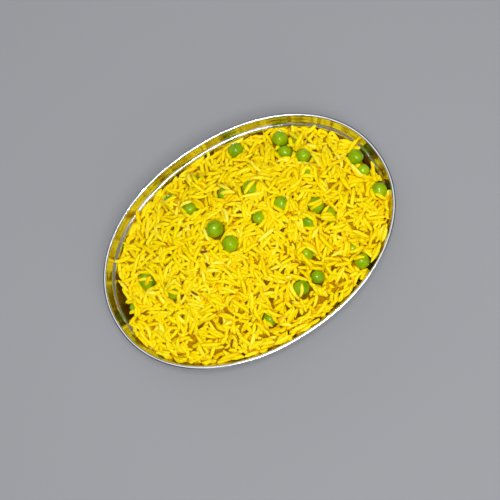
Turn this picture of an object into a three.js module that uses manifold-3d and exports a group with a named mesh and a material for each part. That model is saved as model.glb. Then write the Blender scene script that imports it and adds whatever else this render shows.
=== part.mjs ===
// Oval steel serving dish heaped with yellow pea pilaf rice.
//
// Units are millimetres. +X runs along the oval, +Y across it towards its far side and +Z up.
// The origin is the middle of the dish's flat foot, so the dish stands on z = 0.

import * as THREE from 'three';
import { mergeVertices } from 'three/addons/utils/BufferGeometryUtils.js';
import Module from 'manifold-3d';

// ---------------------------------------------------------------- driving dimensions

const FIT_GAP = 0.4; // room left between two pieces that touch

// The dish, pressed from one sheet. An inset is a distance inwards from the oval's outermost edge.
const DISH = {
  length: 178,
  width: 126.4,
  height: 34,
  roundness: 2.11, // 2 is a true ellipse, more is squarer
  sheet: 0.8,
  bead: 1.1, // radius of the rolled edge
  ledgeOuterInset: 4, // the ledge that a lid sits on
  ledgeOuterDrop: 6.2, // below the rim
  ledgeInnerInset: 6,
  ledgeInnerDrop: 7,
  floorInset: 15, // where the wall would meet the floor if the corner were sharp
  floorCorner: 11,
  ledgeCorner: 0.9,
  floorCornerSteps: 4,
  ledgeCornerSteps: 1,
  beadSteps: 7,
  segments: 56,
};

// The heap of rice. Its edge lies low against the far wall and high against the near one.
const HEAP = {
  top: 45,
  edgeMiddle: 27,
  edgeTilt: 3.2,
  fullness: 2.1, // more gives a flatter top and steeper sides
  edgeInset: DISH.ledgeInnerInset + FIT_GAP,
  segments: DISH.segments,
};

// Stretches of the edge where the rice spills over the ledge, as directions from the middle.
const SPILL = { reach: 2.5, rise: 1.4 };
const SPILLS = [
  { middle: THREE.MathUtils.degToRad(206), halfWidth: THREE.MathUtils.degToRad(25) },
  { middle: THREE.MathUtils.degToRad(317), halfWidth: THREE.MathUtils.degToRad(24) },
];

// Stretches of the edge where the rice stands back from the wall and leaves a deep gap.
const GAPS = [
  { middle: THREE.MathUtils.degToRad(166), halfWidth: THREE.MathUtils.degToRad(17), reach: 7.5 },
  { middle: THREE.MathUtils.degToRad(103), halfWidth: THREE.MathUtils.degToRad(10), reach: 4.5 },
  { middle: THREE.MathUtils.degToRad(-2), halfWidth: THREE.MathUtils.degToRad(12), reach: 3 },
];

// Soft swellings and hollows in the heap.
const SWELLINGS = [
  { x: -18, y: 12, reach: 30, rise: 1.6 },
  { x: 44, y: 14, reach: 26, rise: 1.2 },
  { x: -48, y: 22, reach: 18, rise: 0.8 },
  { x: 12, y: -27, reach: 15, rise: -2.6 },
];

// The step where the upper mound ends and the rice drops to the near left.
const FOLD = { x: -46, y: -5, downhill: THREE.MathUtils.degToRad(221), drop: 3, halfWidth: 5 };

// A cooked long grain. On the heap it shows as a ridge of its own length and width.
const GRAIN = { length: 11, width: 2.2, depth: 1.8, crook: 0.8 };
const GRAIN_CENTRES = 0.95; // least distance between two grains' middle lines, in widths
const HEAP_GRAINS = 420; // places tried, evenly over the heap
const EDGE_GRAINS = 96; // places tried for grains that reach out over the heap's edge
const GROUND_POINTS = 400; // places tried for points that carry the surface between grains
const COVERED_SHARE = 0.95; // of the heap's half length and half width
const SEED = 11;

// Cumin seeds that lie on the rice.
const SEED_SIZE = { length: 4.6, width: 1.3 };
const CUMIN = [
  { x: -24.3, y: 5.7, turn: 150 },
  { x: -41.5, y: -10.2, turn: 115 },
  { x: -39.5, y: -43.8, turn: 45 },
];

// The peas: place, diameter, and how far the middle lies above the rice's surface.
const PEAS = [
  { x: 47.2, y: 39.4, across: 9.1, rise: 0.5 },
  { x: 44.7, y: 30.6, across: 8.6, rise: -2.7 },
  { x: 52.1, y: 22.6, across: 8.3, rise: -1 },
  { x: 54, y: 32.4, across: 8, rise: -2.6 },
  { x: 22.2, y: 48.5, across: 9.4, rise: -0.8 },
  { x: 77, y: 6.4, across: 9.1, rise: 0.7 },
  { x: 76.1, y: -2.3, across: 7.5, rise: -1.8 },
  { x: 76.9, y: -17.3, across: 9.1, rise: 2 },
  { x: -6.8, y: 45.4, across: 8.8, rise: -2.6 },
  { x: 2.8, y: 27.6, across: 8.7, rise: -2.2 },
  { x: 16.6, y: 22.7, across: 8.9, rise: -2.6 },
  { x: -25.1, y: 44.5, across: 8.8, rise: -2.4 },
  { x: -18.2, y: 32.1, across: 8.4, rise: -2.2 },
  { x: 25.9, y: 5.1, across: 8.8, rise: -2.2 },
  { x: 41.9, y: -6.2, across: 8.9, rise: -0.6 },
  { x: 45.1, y: -14.5, across: 8.6, rise: -2.6 },
  { x: 33.6, y: -11.8, across: 8.6, rise: -2.6 },
  { x: 11.6, y: 5, across: 7.6, rise: -2 },
  { x: -12.5, y: 12.9, across: 10, rise: 1 },
  { x: -9.7, y: 1.2, across: 9.3, rise: 0 },
  { x: 22.2, y: -25.4, across: 8.7, rise: -2.4 },
  { x: 20.8, y: -39.8, across: 7.7, rise: 0 },
  { x: 9.9, y: -39.8, across: 8.9, rise: -0.8 },
  { x: 46.4, y: -45.4, across: 8.8, rise: 0.4 },
  { x: 46, y: -36.6, across: 8, rise: -2.6 },
  { x: -61.2, y: 12.7, across: 9.4, rise: -2.6 },
  { x: -50.7, y: -1.6, across: 9.4, rise: -2.6 },
  { x: -74, y: 4.1, across: 8.8, rise: -2.6 },
  { x: -14.4, y: -44.2, across: 8.3, rise: -2.6 },
  { x: 48.8, y: 11.6, across: 8.7, rise: -2.6 },
];

// ---------------------------------------------------------------- materials

const steel = new THREE.MeshStandardMaterial({ color: 0xd2d4d8, roughness: 0.2, metalness: 1 });
const cookedRice = new THREE.MeshStandardMaterial({ color: 0xf4cf10, roughness: 0.5, metalness: 0 });
const peaSkin = new THREE.MeshStandardMaterial({ color: 0x72a81c, roughness: 0.3, metalness: 0 });

// ---------------------------------------------------------------- small helpers

const FULL_TURN = 2 * Math.PI;
const GOLDEN_ANGLE = Math.PI * (3 - Math.sqrt(5));
const { lerp, degToRad } = THREE.MathUtils;

const wasm = await Module();
wasm.setup();

/** A random number source that gives the same row of numbers, from 0 to 1, for the same seed. */
function seededRandom(seed) {
  let state = seed;
  return () => {
    state = (state + 0x6d2b79f5) | 0;
    let mixed = Math.imul(state ^ (state >>> 15), 1 | state);
    mixed = (mixed + Math.imul(mixed ^ (mixed >>> 7), 61 | mixed)) ^ mixed;
    return ((mixed ^ (mixed >>> 14)) >>> 0) / 2 ** 32;
  };
}

/** The closed geometry as a solid that can be joined and cut. */
function solidOf(geometry) {
  const bare = geometry.clone();
  bare.deleteAttribute('normal');
  bare.deleteAttribute('uv');
  const shared = mergeVertices(bare);
  return new wasm.Manifold(new wasm.Mesh({
    numProp: 3,
    vertProperties: new Float32Array(shared.attributes.position.array),
    triVerts: new Uint32Array(shared.index.array),
  }));
}

/** A joined or cut solid as a geometry again. */
function geometryOf(solid) {
  const mesh = solid.getMesh();
  const geometry = new THREE.BufferGeometry();
  geometry.setAttribute('position', new THREE.BufferAttribute(mesh.vertProperties, 3));
  geometry.setIndex(new THREE.BufferAttribute(mesh.triVerts, 1));
  geometry.computeVertexNormals();
  return geometry;
}

/** The largest piece of a solid, without loose scraps or sealed hollows. */
function mainBody(solid) {
  const pieces = solid.decompose();
  return pieces.reduce((largest, piece) => (piece.volume() > largest.volume() ? piece : largest));
}

// ---------------------------------------------------------------- the oval

/** A point on the dish's outermost edge. */
function rimPoint(angle) {
  const power = 2 / DISH.roundness;
  const along = Math.cos(angle);
  const across = Math.sin(angle);
  return new THREE.Vector2(
    (DISH.length / 2) * Math.sign(along) * Math.abs(along) ** power,
    (DISH.width / 2) * Math.sign(across) * Math.abs(across) ** power,
  );
}

/** How far out a point is, from 0 in the middle to 1 on the oval with these half sizes. */
function ovalFraction(x, y, halfLength, halfWidth) {
  const n = DISH.roundness;
  return (Math.abs(x / halfLength) ** n + Math.abs(y / halfWidth) ** n) ** (1 / n);
}

/** A point moved inwards from the edge, square to it. Deeper insets shrink evenly to the middle. */
function ovalPoint(angle, inset) {
  const deepestSquare = DISH.floorInset + DISH.floorCorner / 2;
  const rim = rimPoint(angle);
  const n = DISH.roundness;
  const inward = new THREE.Vector2(
    -Math.sign(rim.x) * Math.abs(rim.x / (DISH.length / 2)) ** (n - 1) / DISH.length,
    -Math.sign(rim.y) * Math.abs(rim.y / (DISH.width / 2)) ** (n - 1) / DISH.width,
  ).normalize();
  const square = Math.min(inset, deepestSquare);
  const shrink = (DISH.width / 2 - inset) / (DISH.width / 2 - square);
  return rim.addScaledVector(inward, square).multiplyScalar(shrink);
}

/** A closed solid turned from rows of points: placePoint gives each row's place at an angle. */
function ovalSolid(rowCount, segments, placePoint) {
  const profile = Array.from({ length: rowCount }, (_, row) => new THREE.Vector2(1, row));
  const geometry = new THREE.LatheGeometry(profile, segments);
  const position = geometry.attributes.position;
  for (let i = 0; i < position.count; i += 1) {
    const column = Math.floor(i / rowCount) % segments;
    const place = placePoint(i % rowCount, (column / segments) * FULL_TURN);
    position.setXYZ(i, place.x, place.y, place.z);
  }
  return geometry;
}

// ---------------------------------------------------------------- the dish

/** Points of a bend that rounds the corner between two straight stretches. */
function bend(before, corner, after, radius, steps) {
  const back = before.clone().sub(corner).normalize();
  const onward = after.clone().sub(corner).normalize();
  const halfAngle = back.angleTo(onward) / 2;
  const middle = back.clone().add(onward).normalize();
  const centre = corner.clone().addScaledVector(middle, radius / Math.sin(halfAngle));
  const reach = radius / Math.tan(halfAngle);
  const from = corner.clone().addScaledVector(back, reach).sub(centre);
  const turn = from.angle();
  const end = corner.clone().addScaledVector(onward, reach).sub(centre);
  const sweep = Math.atan2(from.cross(end), from.dot(end));
  return Array.from({ length: steps + 1 }, (_, step) => {
    const angle = turn + (sweep * step) / steps;
    return new THREE.Vector2(Math.cos(angle), Math.sin(angle)).multiplyScalar(radius).add(centre);
  });
}

/** One face of the sheet from the floor's middle up to the rolled edge, as (inset, height). */
function sheetFace(depth) {
  const d = DISH;
  const offset = d.sheet - depth; // 0 on the inside, one sheet on the outside
  const lean = Math.atan2(d.floorInset - d.ledgeInnerInset, d.height - d.ledgeInnerDrop - d.sheet);
  const corners = [
    [d.width / 2, d.sheet - offset],
    [d.floorInset - offset * Math.tan(Math.PI / 4 - lean / 2), d.sheet - offset],
    [d.ledgeInnerInset - offset * 0.8, d.height - d.ledgeInnerDrop - offset],
    [d.ledgeOuterInset - offset * 0.8, d.height - d.ledgeOuterDrop - offset],
    [2 * d.bead - offset, d.height - d.bead],
  ].map(([inset, height]) => new THREE.Vector2(inset, height));
  const inner = d.ledgeCorner + (offset > 0 ? 0 : d.sheet);
  const outer = d.ledgeCorner + (offset > 0 ? d.sheet : 0);
  return [
    corners[0],
    ...bend(corners[0], corners[1], corners[2], d.floorCorner + offset, d.floorCornerSteps),
    ...bend(corners[1], corners[2], corners[3], inner, d.ledgeCornerSteps),
    ...bend(corners[2], corners[3], corners[4], outer, d.ledgeCornerSteps),
  ];
}

const insideFace = sheetFace(DISH.sheet);
const outsideFace = sheetFace(0);

/** The dish: its floor, leaning wall, ledge and upper wall, closed by the rolled edge. */
function dishGeometry() {
  const steps = DISH.beadSteps;
  const centre = new THREE.Vector2(DISH.bead, DISH.height - DISH.bead);
  const beadSweep = degToRad(286); // from under the edge round the outside and over to the inside face
  const bead = Array.from({ length: steps + 1 }, (_, step) => {
    const angle = beadSweep * (1 - step / steps);
    return new THREE.Vector2(Math.cos(angle), Math.sin(angle)).multiplyScalar(DISH.bead).add(centre);
  });
  const profile = [...outsideFace, ...bead, ...insideFace.toReversed()];
  return ovalSolid(profile.length, DISH.segments, (row, angle) => {
    const place = ovalPoint(angle, profile[row].x);
    return new THREE.Vector3(place.x, place.y, profile[row].y);
  });
}

// ---------------------------------------------------------------- the heap's surface

const heapHalfLength = DISH.length / 2 - HEAP.edgeInset;
const heapHalfWidth = DISH.width / 2 - HEAP.edgeInset;
const EVEN_INSET = HEAP.edgeInset - SPILL.reach;

/** Share of a stretch of the edge, from 0 to 1, on the side that a point is on. */
function stretchShare(stretch, x, y) {
  const direction = Math.atan2(y / heapHalfWidth, x / heapHalfLength);
  const away = Math.acos(Math.cos(direction - stretch.middle)) / stretch.halfWidth;
  return Math.max(0, 1 - away ** 4);
}

/** How much the rice rises in a spill on the side that a point is on, from 0 to 1. */
function spillRise(x, y) {
  return Math.max(...SPILLS.map((spill) => stretchShare(spill, x, y)));
}

/** Height of the heap's edge on the side that a point is on. */
function edgeHeight(x, y) {
  const fraction = Math.max(ovalFraction(x, y, heapHalfLength, heapHalfWidth), 1e-6);
  const tilted = HEAP.edgeMiddle - (HEAP.edgeTilt * y) / heapHalfWidth / fraction;
  return tilted + SPILL.rise * spillRise(x, y);
}

/** Inset of the heap's edge on the side that a point is on: out in a spill and back in a gap. */
function edgeInsetAt(x, y) {
  const back = GAPS.map((gap) => gap.reach * stretchShare(gap, x, y));
  return HEAP.edgeInset - SPILL.reach * spillRise(x, y) ** 2 + Math.max(...back);
}

/** Height of the rice's surface: a dome with soft swellings and one step down. */
function heapHeight(x, y) {
  const fraction = Math.min(ovalFraction(x, y, heapHalfLength, heapHalfWidth), 1.15);
  const inside = Math.max(0, 1 - fraction ** 2);
  let height = lerp(HEAP.top, edgeHeight(x, y), fraction ** HEAP.fullness);
  for (const { x: cx, y: cy, reach, rise } of SWELLINGS) {
    const away = ((x - cx) ** 2 + (y - cy) ** 2) / reach ** 2;
    height += rise * Math.exp(-away) * Math.min(1, 3 * inside);
  }
  const past = (x - FOLD.x) * Math.cos(FOLD.downhill) + (y - FOLD.y) * Math.sin(FOLD.downhill);
  const fallen = 1 / (1 + Math.exp((-2 * past) / FOLD.halfWidth));
  return height - FOLD.drop * fallen * Math.min(1, 2 * inside);
}

/** How far the inside face of the dish's wall lies in from the edge at a height. */
function wallInset(height) {
  const above = insideFace.findIndex((point, row) => row > 0 && point.y >= height);
  if (above < 1) {
    return DISH.ledgeOuterInset;
  }
  const low = insideFace[above - 1];
  const high = insideFace[above];
  return lerp(low.x, high.x, (height - low.y) / (high.y - low.y));
}

/** Rings of the heap's underside and side, from the dish's floor up to the heap's edge. */
function lowerRings() {
  const floorRows = insideFace.slice(1, 2 + DISH.floorCornerSteps);
  const ledgeHeight = DISH.height - DISH.ledgeInnerDrop;
  const belowEdge = 1;
  const columns = Array.from({ length: HEAP.segments }, (_, i) => {
    const angle = (i / HEAP.segments) * FULL_TURN;
    const outermost = ovalPoint(angle, HEAP.edgeInset);
    return { angle, outermost, inset: edgeInsetAt(outermost.x, outermost.y) };
  });
  const onRing = (angle, inset, height) => {
    const place = ovalPoint(angle, inset);
    return new THREE.Vector3(place.x, place.y, height);
  };
  const edge = columns.map(({ angle, outermost, inset }) => {
    const low = edgeHeight(outermost.x, outermost.y);
    const besideWall = inset - HEAP.edgeInset + wallInset(Math.min(low, ledgeHeight)) + FIT_GAP;
    const place = onRing(angle, Math.max(inset, besideWall), low);
    return place.setZ(Math.max(low, heapHeight(place.x, place.y)));
  });
  const floorRings = floorRows.map((row) => columns.map(({ angle, inset }) => (
    onRing(angle, Math.max(row.x + FIT_GAP, inset), row.y + FIT_GAP))));
  const ledgeRing = columns.map(({ angle, inset }, i) => {
    const height = Math.min(edge[i].z - belowEdge, ledgeHeight + FIT_GAP);
    const besideWall = wallInset(Math.min(height, ledgeHeight)) + FIT_GAP;
    return onRing(angle, Math.max(HEAP.edgeInset, besideWall, inset), height);
  });
  return [...floorRings, ledgeRing, edge];
}

/** A triangle of a net with the circle through its corners, which run counter-clockwise. */
function netTriangle(points, corners) {
  const [a, b, c] = corners.map((corner) => points[corner]);
  const bx = b.x - a.x;
  const by = b.y - a.y;
  const cx = c.x - a.x;
  const cy = c.y - a.y;
  const doubleArea = 2 * (bx * cy - by * cx);
  const ux = (cy * (bx * bx + by * by) - by * (cx * cx + cy * cy)) / doubleArea;
  const uy = (bx * (cx * cx + cy * cy) - cx * (bx * bx + by * by)) / doubleArea;
  return { corners, x: a.x + ux, y: a.y + uy, radiusSquared: ux * ux + uy * uy };
}

/** A Delaunay net over the points in plan, as corner triples that run counter-clockwise. */
function netOver(points) {
  const far = 1e5;
  const count = points.length;
  const all = [...points, { x: -far, y: -far }, { x: far, y: -far }, { x: 0, y: far }];
  let triangles = [netTriangle(all, [count, count + 1, count + 2])];
  points.forEach((point, index) => {
    const border = new Map();
    triangles = triangles.filter(({ corners, x, y, radiusSquared }) => {
      if ((point.x - x) ** 2 + (point.y - y) ** 2 >= radiusSquared) {
        return true;
      }
      corners.forEach((from, i) => {
        const to = corners[(i + 1) % 3];
        const key = `${Math.min(from, to)} ${Math.max(from, to)}`;
        if (!border.delete(key)) {
          border.set(key, [from, to, index]);
        }
      });
      return false;
    });
    triangles.push(...[...border.values()].map((corners) => netTriangle(all, corners)));
  });
  return triangles.map(({ corners }) => corners).filter((corners) => Math.max(...corners) < count);
}

/** A point in plan, pushed out so that the heap's uneven edge becomes an even oval. */
function evenPlan(point) {
  const inset = edgeInsetAt(point.x, point.y);
  const share = ovalFraction(point.x, point.y, DISH.length / 2 - inset, DISH.width / 2 - inset);
  const push = (inset - EVEN_INSET) * share ** 6;
  const plan = new THREE.Vector2(point.x, point.y);
  return plan.setLength(plan.length() + push);
}

/** The heap's body: it fills the dish, and its top is a net over the given points. */
function heapGeometry(topPoints) {
  const rings = lowerRings();
  const n = HEAP.segments;
  const middle = new THREE.Vector3(0, 0, insideFace[0].y + FIT_GAP);
  const points = [middle, ...rings.flat(), ...topPoints];
  const faces = [];
  for (let i = 0; i < n; i += 1) {
    const next = (i + 1) % n;
    faces.push([0, 1 + next, 1 + i]);
    for (let row = 0; row < rings.length - 1; row += 1) {
      const low = 1 + row * n;
      const high = low + n;
      faces.push([low + i, low + next, high + next], [low + i, high + next, high + i]);
    }
  }
  const edgeStart = 1 + (rings.length - 1) * n;
  const evenEdge = Array.from({ length: n }, (_, i) => ovalPoint((i / n) * FULL_TURN, EVEN_INSET));
  const net = netOver([...evenEdge, ...topPoints.map(evenPlan)]);
  faces.push(...net.map((corners) => corners.map((corner) => corner + edgeStart)));
  return new THREE.BufferGeometry().setFromPoints(points).setIndex(faces.flat());
}

// ---------------------------------------------------------------- peas and grains

/** A pea as a low ball, slightly out of round, resting in the rice. */
function peaMesh(pea, index) {
  const turnStep = 1.7;
  const mesh = new THREE.Mesh(new THREE.IcosahedronGeometry(pea.across / 2, 1), peaSkin.clone());
  mesh.name = `pea_${String(index + 1).padStart(2, '0')}`;
  mesh.position.set(pea.x, pea.y, heapHeight(pea.x, pea.y) + pea.rise);
  mesh.rotation.set(index * turnStep, index * turnStep * 2, 0);
  mesh.updateMatrix();
  return mesh;
}

/** The hollow that a pea lies in: a plain twenty-sided ball that holds the pea and the gap. */
function socketOf(mesh, pea) {
  const faceToCorner = 0.7947; // of an icosahedron: its inner radius over its outer one
  const radius = (pea.across / 2 + FIT_GAP) / faceToCorner;
  return solidOf(new THREE.IcosahedronGeometry(radius, 0).applyMatrix4(mesh.matrix));
}

const rimSamples = Array.from({ length: 240 }, (_, i) => rimPoint((i / 240) * FULL_TURN));
const wallFace = [...insideFace, new THREE.Vector2(2 * DISH.bead, DISH.height - DISH.bead)];

/** Distance in plan between a point and the dish's outermost edge. */
function insetOf(point) {
  return rimSamples.reduce((least, rim) => Math.min(least, rim.distanceTo(point)), Infinity);
}

/** Distance of a point from the dish's inside face, less than 0 beyond the rim. */
function clearanceToDish(point) {
  const nearest = insetOf(point);
  if (ovalFraction(point.x, point.y, DISH.length / 2, DISH.width / 2) > 1) {
    return -nearest;
  }
  const here = new THREE.Vector3(nearest, point.z, 0);
  const onFace = new THREE.Vector3();
  const distances = wallFace.slice(1).map((end, i) => {
    const stretch = new THREE.Line3(
      new THREE.Vector3(wallFace[i].x, wallFace[i].y, 0),
      new THREE.Vector3(end.x, end.y, 0),
    );
    return stretch.closestPointToPoint(here, true, onFace).distanceTo(here);
  });
  return Math.min(...distances);
}

/** A grain laid on the heap: its middle line, leaning as the surface under it does. */
function layGrain({ x, y, turn, length, lift, tilt }) {
  const half = length / 2;
  const dx = Math.cos(turn) * half;
  const dy = Math.sin(turn) * half;
  const grip = 0.7;
  const slope = (heapHeight(x + dx * grip, y + dy * grip) - heapHeight(x - dx * grip, y - dy * grip))
    / (2 * half * grip) + tilt;
  const middle = new THREE.Vector3(x, y, heapHeight(x, y) + lift);
  const halfLine = new THREE.Vector3(dx, dy, slope * half);
  const pointAt = (fraction) => middle.clone().addScaledVector(halfLine, fraction);
  return { middle, halfLine, pointAt, line: [-1, -0.6, -0.2, 0.2, 0.6, 1].map(pointAt) };
}

/** True where a point lies at least this far inside the heap's edge in plan. */
function isWithinEdge(point, margin) {
  return insetOf(point) > edgeInsetAt(point.x, point.y) + margin;
}

/** True where a laid grain keeps clear of the peas, the dish and its neighbours. */
function hasRoom(laid, peaMeshes, neighbours) {
  const room = GRAIN.width / 2 + FIT_GAP;
  return laid.line.every((point) => (
    clearanceToDish(point) > room
    && peaMeshes.every((mesh, i) => mesh.position.distanceTo(point) > PEAS[i].across / 2 + room)
    && neighbours.every((other) => other.distanceTo(point) > GRAIN.width * GRAIN_CENTRES)));
}

/** The points of a grain that shows as a ridge: its tips, its flanks and its crooked top line. */
function ridgePoints(laid, crook) {
  const sideways = new THREE.Vector3(-laid.halfLine.y, laid.halfLine.x, 0).normalize();
  const flank = (fraction, side) => {
    const point = laid.pointAt(fraction).addScaledVector(sideways, (side * GRAIN.width) / 2);
    return point.setZ(groundHeight(point.x, point.y));
  };
  const tip = (fraction) => {
    const point = laid.pointAt(fraction);
    return point.setZ(groundHeight(point.x, point.y));
  };
  const shoulder = 0.62;
  const aside = new THREE.Vector3().addScaledVector(sideways, crook);
  return [
    tip(-1),
    tip(1),
    laid.pointAt(-shoulder),
    laid.pointAt(0).add(aside),
    laid.pointAt(shoulder),
    flank(-shoulder, -1),
    flank(-shoulder, 1),
    flank(0, -1).add(aside),
    flank(0, 1).add(aside),
    flank(shoulder, -1),
    flank(shoulder, 1),
  ];
}

/** Height of the surface between the ridges. */
function groundHeight(x, y) {
  return heapHeight(x, y) - GRAIN.depth / 2;
}

/** A closed spindle with four flat sides, as a grain or a seed that reaches out free. */
function spindleGeometry(laid, width) {
  const half = laid.halfLine.length();
  const shoulder = 0.55;
  const profile = [
    [0, -half],
    [width / 2, -half * shoulder],
    [width / 2, half * shoulder],
    [0, half],
  ].map(([radius, along]) => new THREE.Vector2(radius, along));
  const direction = laid.halfLine.clone().normalize();
  const lean = new THREE.Quaternion().setFromUnitVectors(new THREE.Vector3(0, 1, 0), direction);
  const place = new THREE.Matrix4().compose(laid.middle, lean, new THREE.Vector3(1, 1, 1));
  return new THREE.LatheGeometry(profile, 4).applyMatrix4(place);
}

/** Grains that fit at evenly spread places, tried in several turns and then shortened. */
function scatterGrains(places, edgeMargin, peaMeshes, taken, random) {
  const around = (middle, spread) => middle + (random() - 0.5) * 2 * spread;
  const attempts = 24;
  const grains = [];
  for (const { x, y, turn, freedom } of places) {
    for (let attempt = 0; attempt < attempts; attempt += 1) {
      const laid = layGrain({
        x: around(x, 1),
        y: around(y, 1),
        turn: around(turn, (freedom * attempt) / attempts),
        length: GRAIN.length * around(1, 0.12) * lerp(1, 0.6, attempt / attempts),
        lift: around(GRAIN.depth / 2, 0.3),
        tilt: around(0, 0.06),
      });
      const isWithin = laid.line.every((point) => isWithinEdge(point, edgeMargin));
      if (isWithin && hasRoom(laid, peaMeshes, taken)) {
        taken.push(...laid.line);
        grains.push(laid);
        break;
      }
    }
  }
  return grains;
}

/** Places spread evenly over the heap in plan, on a sunflower's spiral. */
function evenPlaces(count) {
  return Array.from({ length: count }, (_, i) => {
    const out = Math.sqrt((i + 0.5) / count) * COVERED_SHARE;
    const x = heapHalfLength * out * Math.cos(i * GOLDEN_ANGLE);
    const y = heapHalfWidth * out * Math.sin(i * GOLDEN_ANGLE);
    return { x, y };
  });
}

/** The rice: a heap ridged with grains, a hollow for each pea, and grains and seeds fused on. */
function riceGeometry(peaMeshes) {
  const random = seededRandom(SEED);
  const bareReach = 1.6 * GRAIN.width; // a ground point this far from every ridge is needed
  const taken = [];
  const edgePlaces = Array.from({ length: EDGE_GRAINS }, (_, i) => {
    const angle = ((i + 0.5) / EDGE_GRAINS) * FULL_TURN;
    const outermost = ovalPoint(angle, HEAP.edgeInset);
    const place = ovalPoint(angle, edgeInsetAt(outermost.x, outermost.y) + 1);
    return { x: place.x, y: place.y, turn: angle + (random() - 0.5) * 1.6, freedom: 1.2 };
  });
  const heapPlaces = evenPlaces(HEAP_GRAINS).map((place) => (
    { ...place, turn: random() * Math.PI, freedom: Math.PI }));
  const edgeGrains = scatterGrains(edgePlaces, -GRAIN.length, peaMeshes, taken, random);
  const heapGrains = scatterGrains(heapPlaces, GRAIN.width * 0.8, peaMeshes, taken, random);
  const ridges = heapGrains.flatMap((laid) => ridgePoints(laid, (random() - 0.5) * 2 * GRAIN.crook));
  const ground = evenPlaces(GROUND_POINTS)
    .map(({ x, y }) => new THREE.Vector3(x, y, groundHeight(x, y)))
    .filter((point) => isWithinEdge(point, GRAIN.width / 2))
    .filter(({ x, y }) => ridges.every((other) => Math.hypot(other.x - x, other.y - y) > bareReach));
  let rice = solidOf(heapGeometry([...ridges, ...ground]));
  for (const [i, mesh] of peaMeshes.entries()) {
    rice = rice.subtract(socketOf(mesh, PEAS[i]));
  }
  const seeds = CUMIN.map(({ x, y, turn }) => layGrain({
    x, y, turn: degToRad(turn), length: SEED_SIZE.length, lift: SEED_SIZE.width / 4, tilt: 0,
  }));
  for (const laid of edgeGrains) {
    rice = rice.add(solidOf(spindleGeometry(laid, GRAIN.width)));
  }
  for (const laid of seeds) {
    rice = rice.add(solidOf(spindleGeometry(laid, SEED_SIZE.width)));
  }
  return geometryOf(mainBody(rice));
}

// ---------------------------------------------------------------- the whole

const plateful = new THREE.Group();

const dish = new THREE.Mesh(dishGeometry(), steel);
dish.name = 'dish';

const peas = PEAS.map(peaMesh);

const rice = new THREE.Mesh(riceGeometry(peas), cookedRice);
rice.name = 'rice';

plateful.add(dish, rice, ...peas);

export default plateful;
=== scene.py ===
# %% [markdown]
# # A plate of pea pulao
# Yellow long-grain rice with green peas is heaped in an oval steel dish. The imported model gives
# the sizes and places. This lesson lays fine pieces over it: a smooth dish, two thousand loose
# grains, glossy peas and a few cumin seeds. Blender works in metres, so `MM` turns the
# kitchen's millimetres into metres.

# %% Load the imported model
import math

import bmesh
import bpy
import numpy as np
from mathutils import Matrix, Vector, noise
from mathutils.bvhtree import BVHTree


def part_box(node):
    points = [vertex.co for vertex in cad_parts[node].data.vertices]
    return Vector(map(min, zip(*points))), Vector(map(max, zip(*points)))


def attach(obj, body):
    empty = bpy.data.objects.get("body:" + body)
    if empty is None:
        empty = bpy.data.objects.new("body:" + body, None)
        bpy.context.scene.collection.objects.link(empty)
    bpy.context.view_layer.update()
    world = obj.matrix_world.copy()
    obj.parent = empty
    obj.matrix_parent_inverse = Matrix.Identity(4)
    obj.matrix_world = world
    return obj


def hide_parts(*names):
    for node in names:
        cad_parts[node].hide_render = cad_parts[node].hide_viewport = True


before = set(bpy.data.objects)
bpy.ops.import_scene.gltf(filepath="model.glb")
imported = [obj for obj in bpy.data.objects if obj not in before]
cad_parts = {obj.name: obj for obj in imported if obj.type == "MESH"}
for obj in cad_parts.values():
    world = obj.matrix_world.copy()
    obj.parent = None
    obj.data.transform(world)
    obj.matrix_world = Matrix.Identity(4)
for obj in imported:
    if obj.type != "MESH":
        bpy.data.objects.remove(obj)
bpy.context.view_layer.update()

MM = 0.001

# %% [markdown]
# ## The camera
# The photograph looks almost straight down, a little from the near side, and the dish lies
# turned in the picture. An outline of the dish was fitted to the picture, which gives the
# distance, the height angle and the roll. A camera can be aimed by a constraint, but here its
# three axes are worked out and set, because the roll has to be exact.

# %% Set the camera
PICTURE_SIDE = 500  # pixels
FOCAL_LENGTH = 1064.7  # pixels
SENSOR = 36.0
CAMERA_DISTANCE = 600 * MM
CAMERA_HEIGHT_ANGLE = math.radians(80)
CAMERA_ROLL = math.radians(33.4)
LOOKED_AT = Vector((-2.47, -5.70, 34.0)) * MM

back = Vector((0, -math.cos(CAMERA_HEIGHT_ANGLE), math.sin(CAMERA_HEIGHT_ANGLE)))
level_right = Vector((1, 0, 0))
level_up = back.cross(level_right)
right = level_right * math.cos(CAMERA_ROLL) - level_up * math.sin(CAMERA_ROLL)
up = level_right * math.sin(CAMERA_ROLL) + level_up * math.cos(CAMERA_ROLL)

camera_data = bpy.data.cameras.new("camera")
camera_data.sensor_width = SENSOR
camera_data.lens = FOCAL_LENGTH / PICTURE_SIDE * SENSOR
camera = bpy.data.objects.new("camera", camera_data)
camera.matrix_world = (
    Matrix.Translation(LOOKED_AT + back * CAMERA_DISTANCE)
    @ Matrix((right, up, back)).transposed().to_4x4()
)
bpy.context.scene.collection.objects.link(camera)
bpy.context.scene.camera = camera
print("lens, mm:", round(camera_data.lens, 1))

# %% [markdown]
# ## The floor
# The dish stands on a plain grey floor, a plane that is large enough to fill every view. The
# picture's colours are strong and plain, so the Standard view transform is used, which shows
# them as they are. Every finish starts from one material with its main shader.

# %% Make the floor
FLOOR_SIDE = 30
FLOOR_GREY = (0.30, 0.305, 0.32)
bpy.context.scene.view_settings.view_transform = "Standard"


def plain_material(name, colour, roughness):
    """A material with its main shader, ready for nodes of its own."""
    material = bpy.data.materials.new(name)
    material.use_nodes = True
    shader = material.node_tree.nodes["Principled BSDF"]
    shader.inputs["Base Color"].default_value = (*colour, 1)
    shader.inputs["Roughness"].default_value = roughness
    return material, shader


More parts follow.
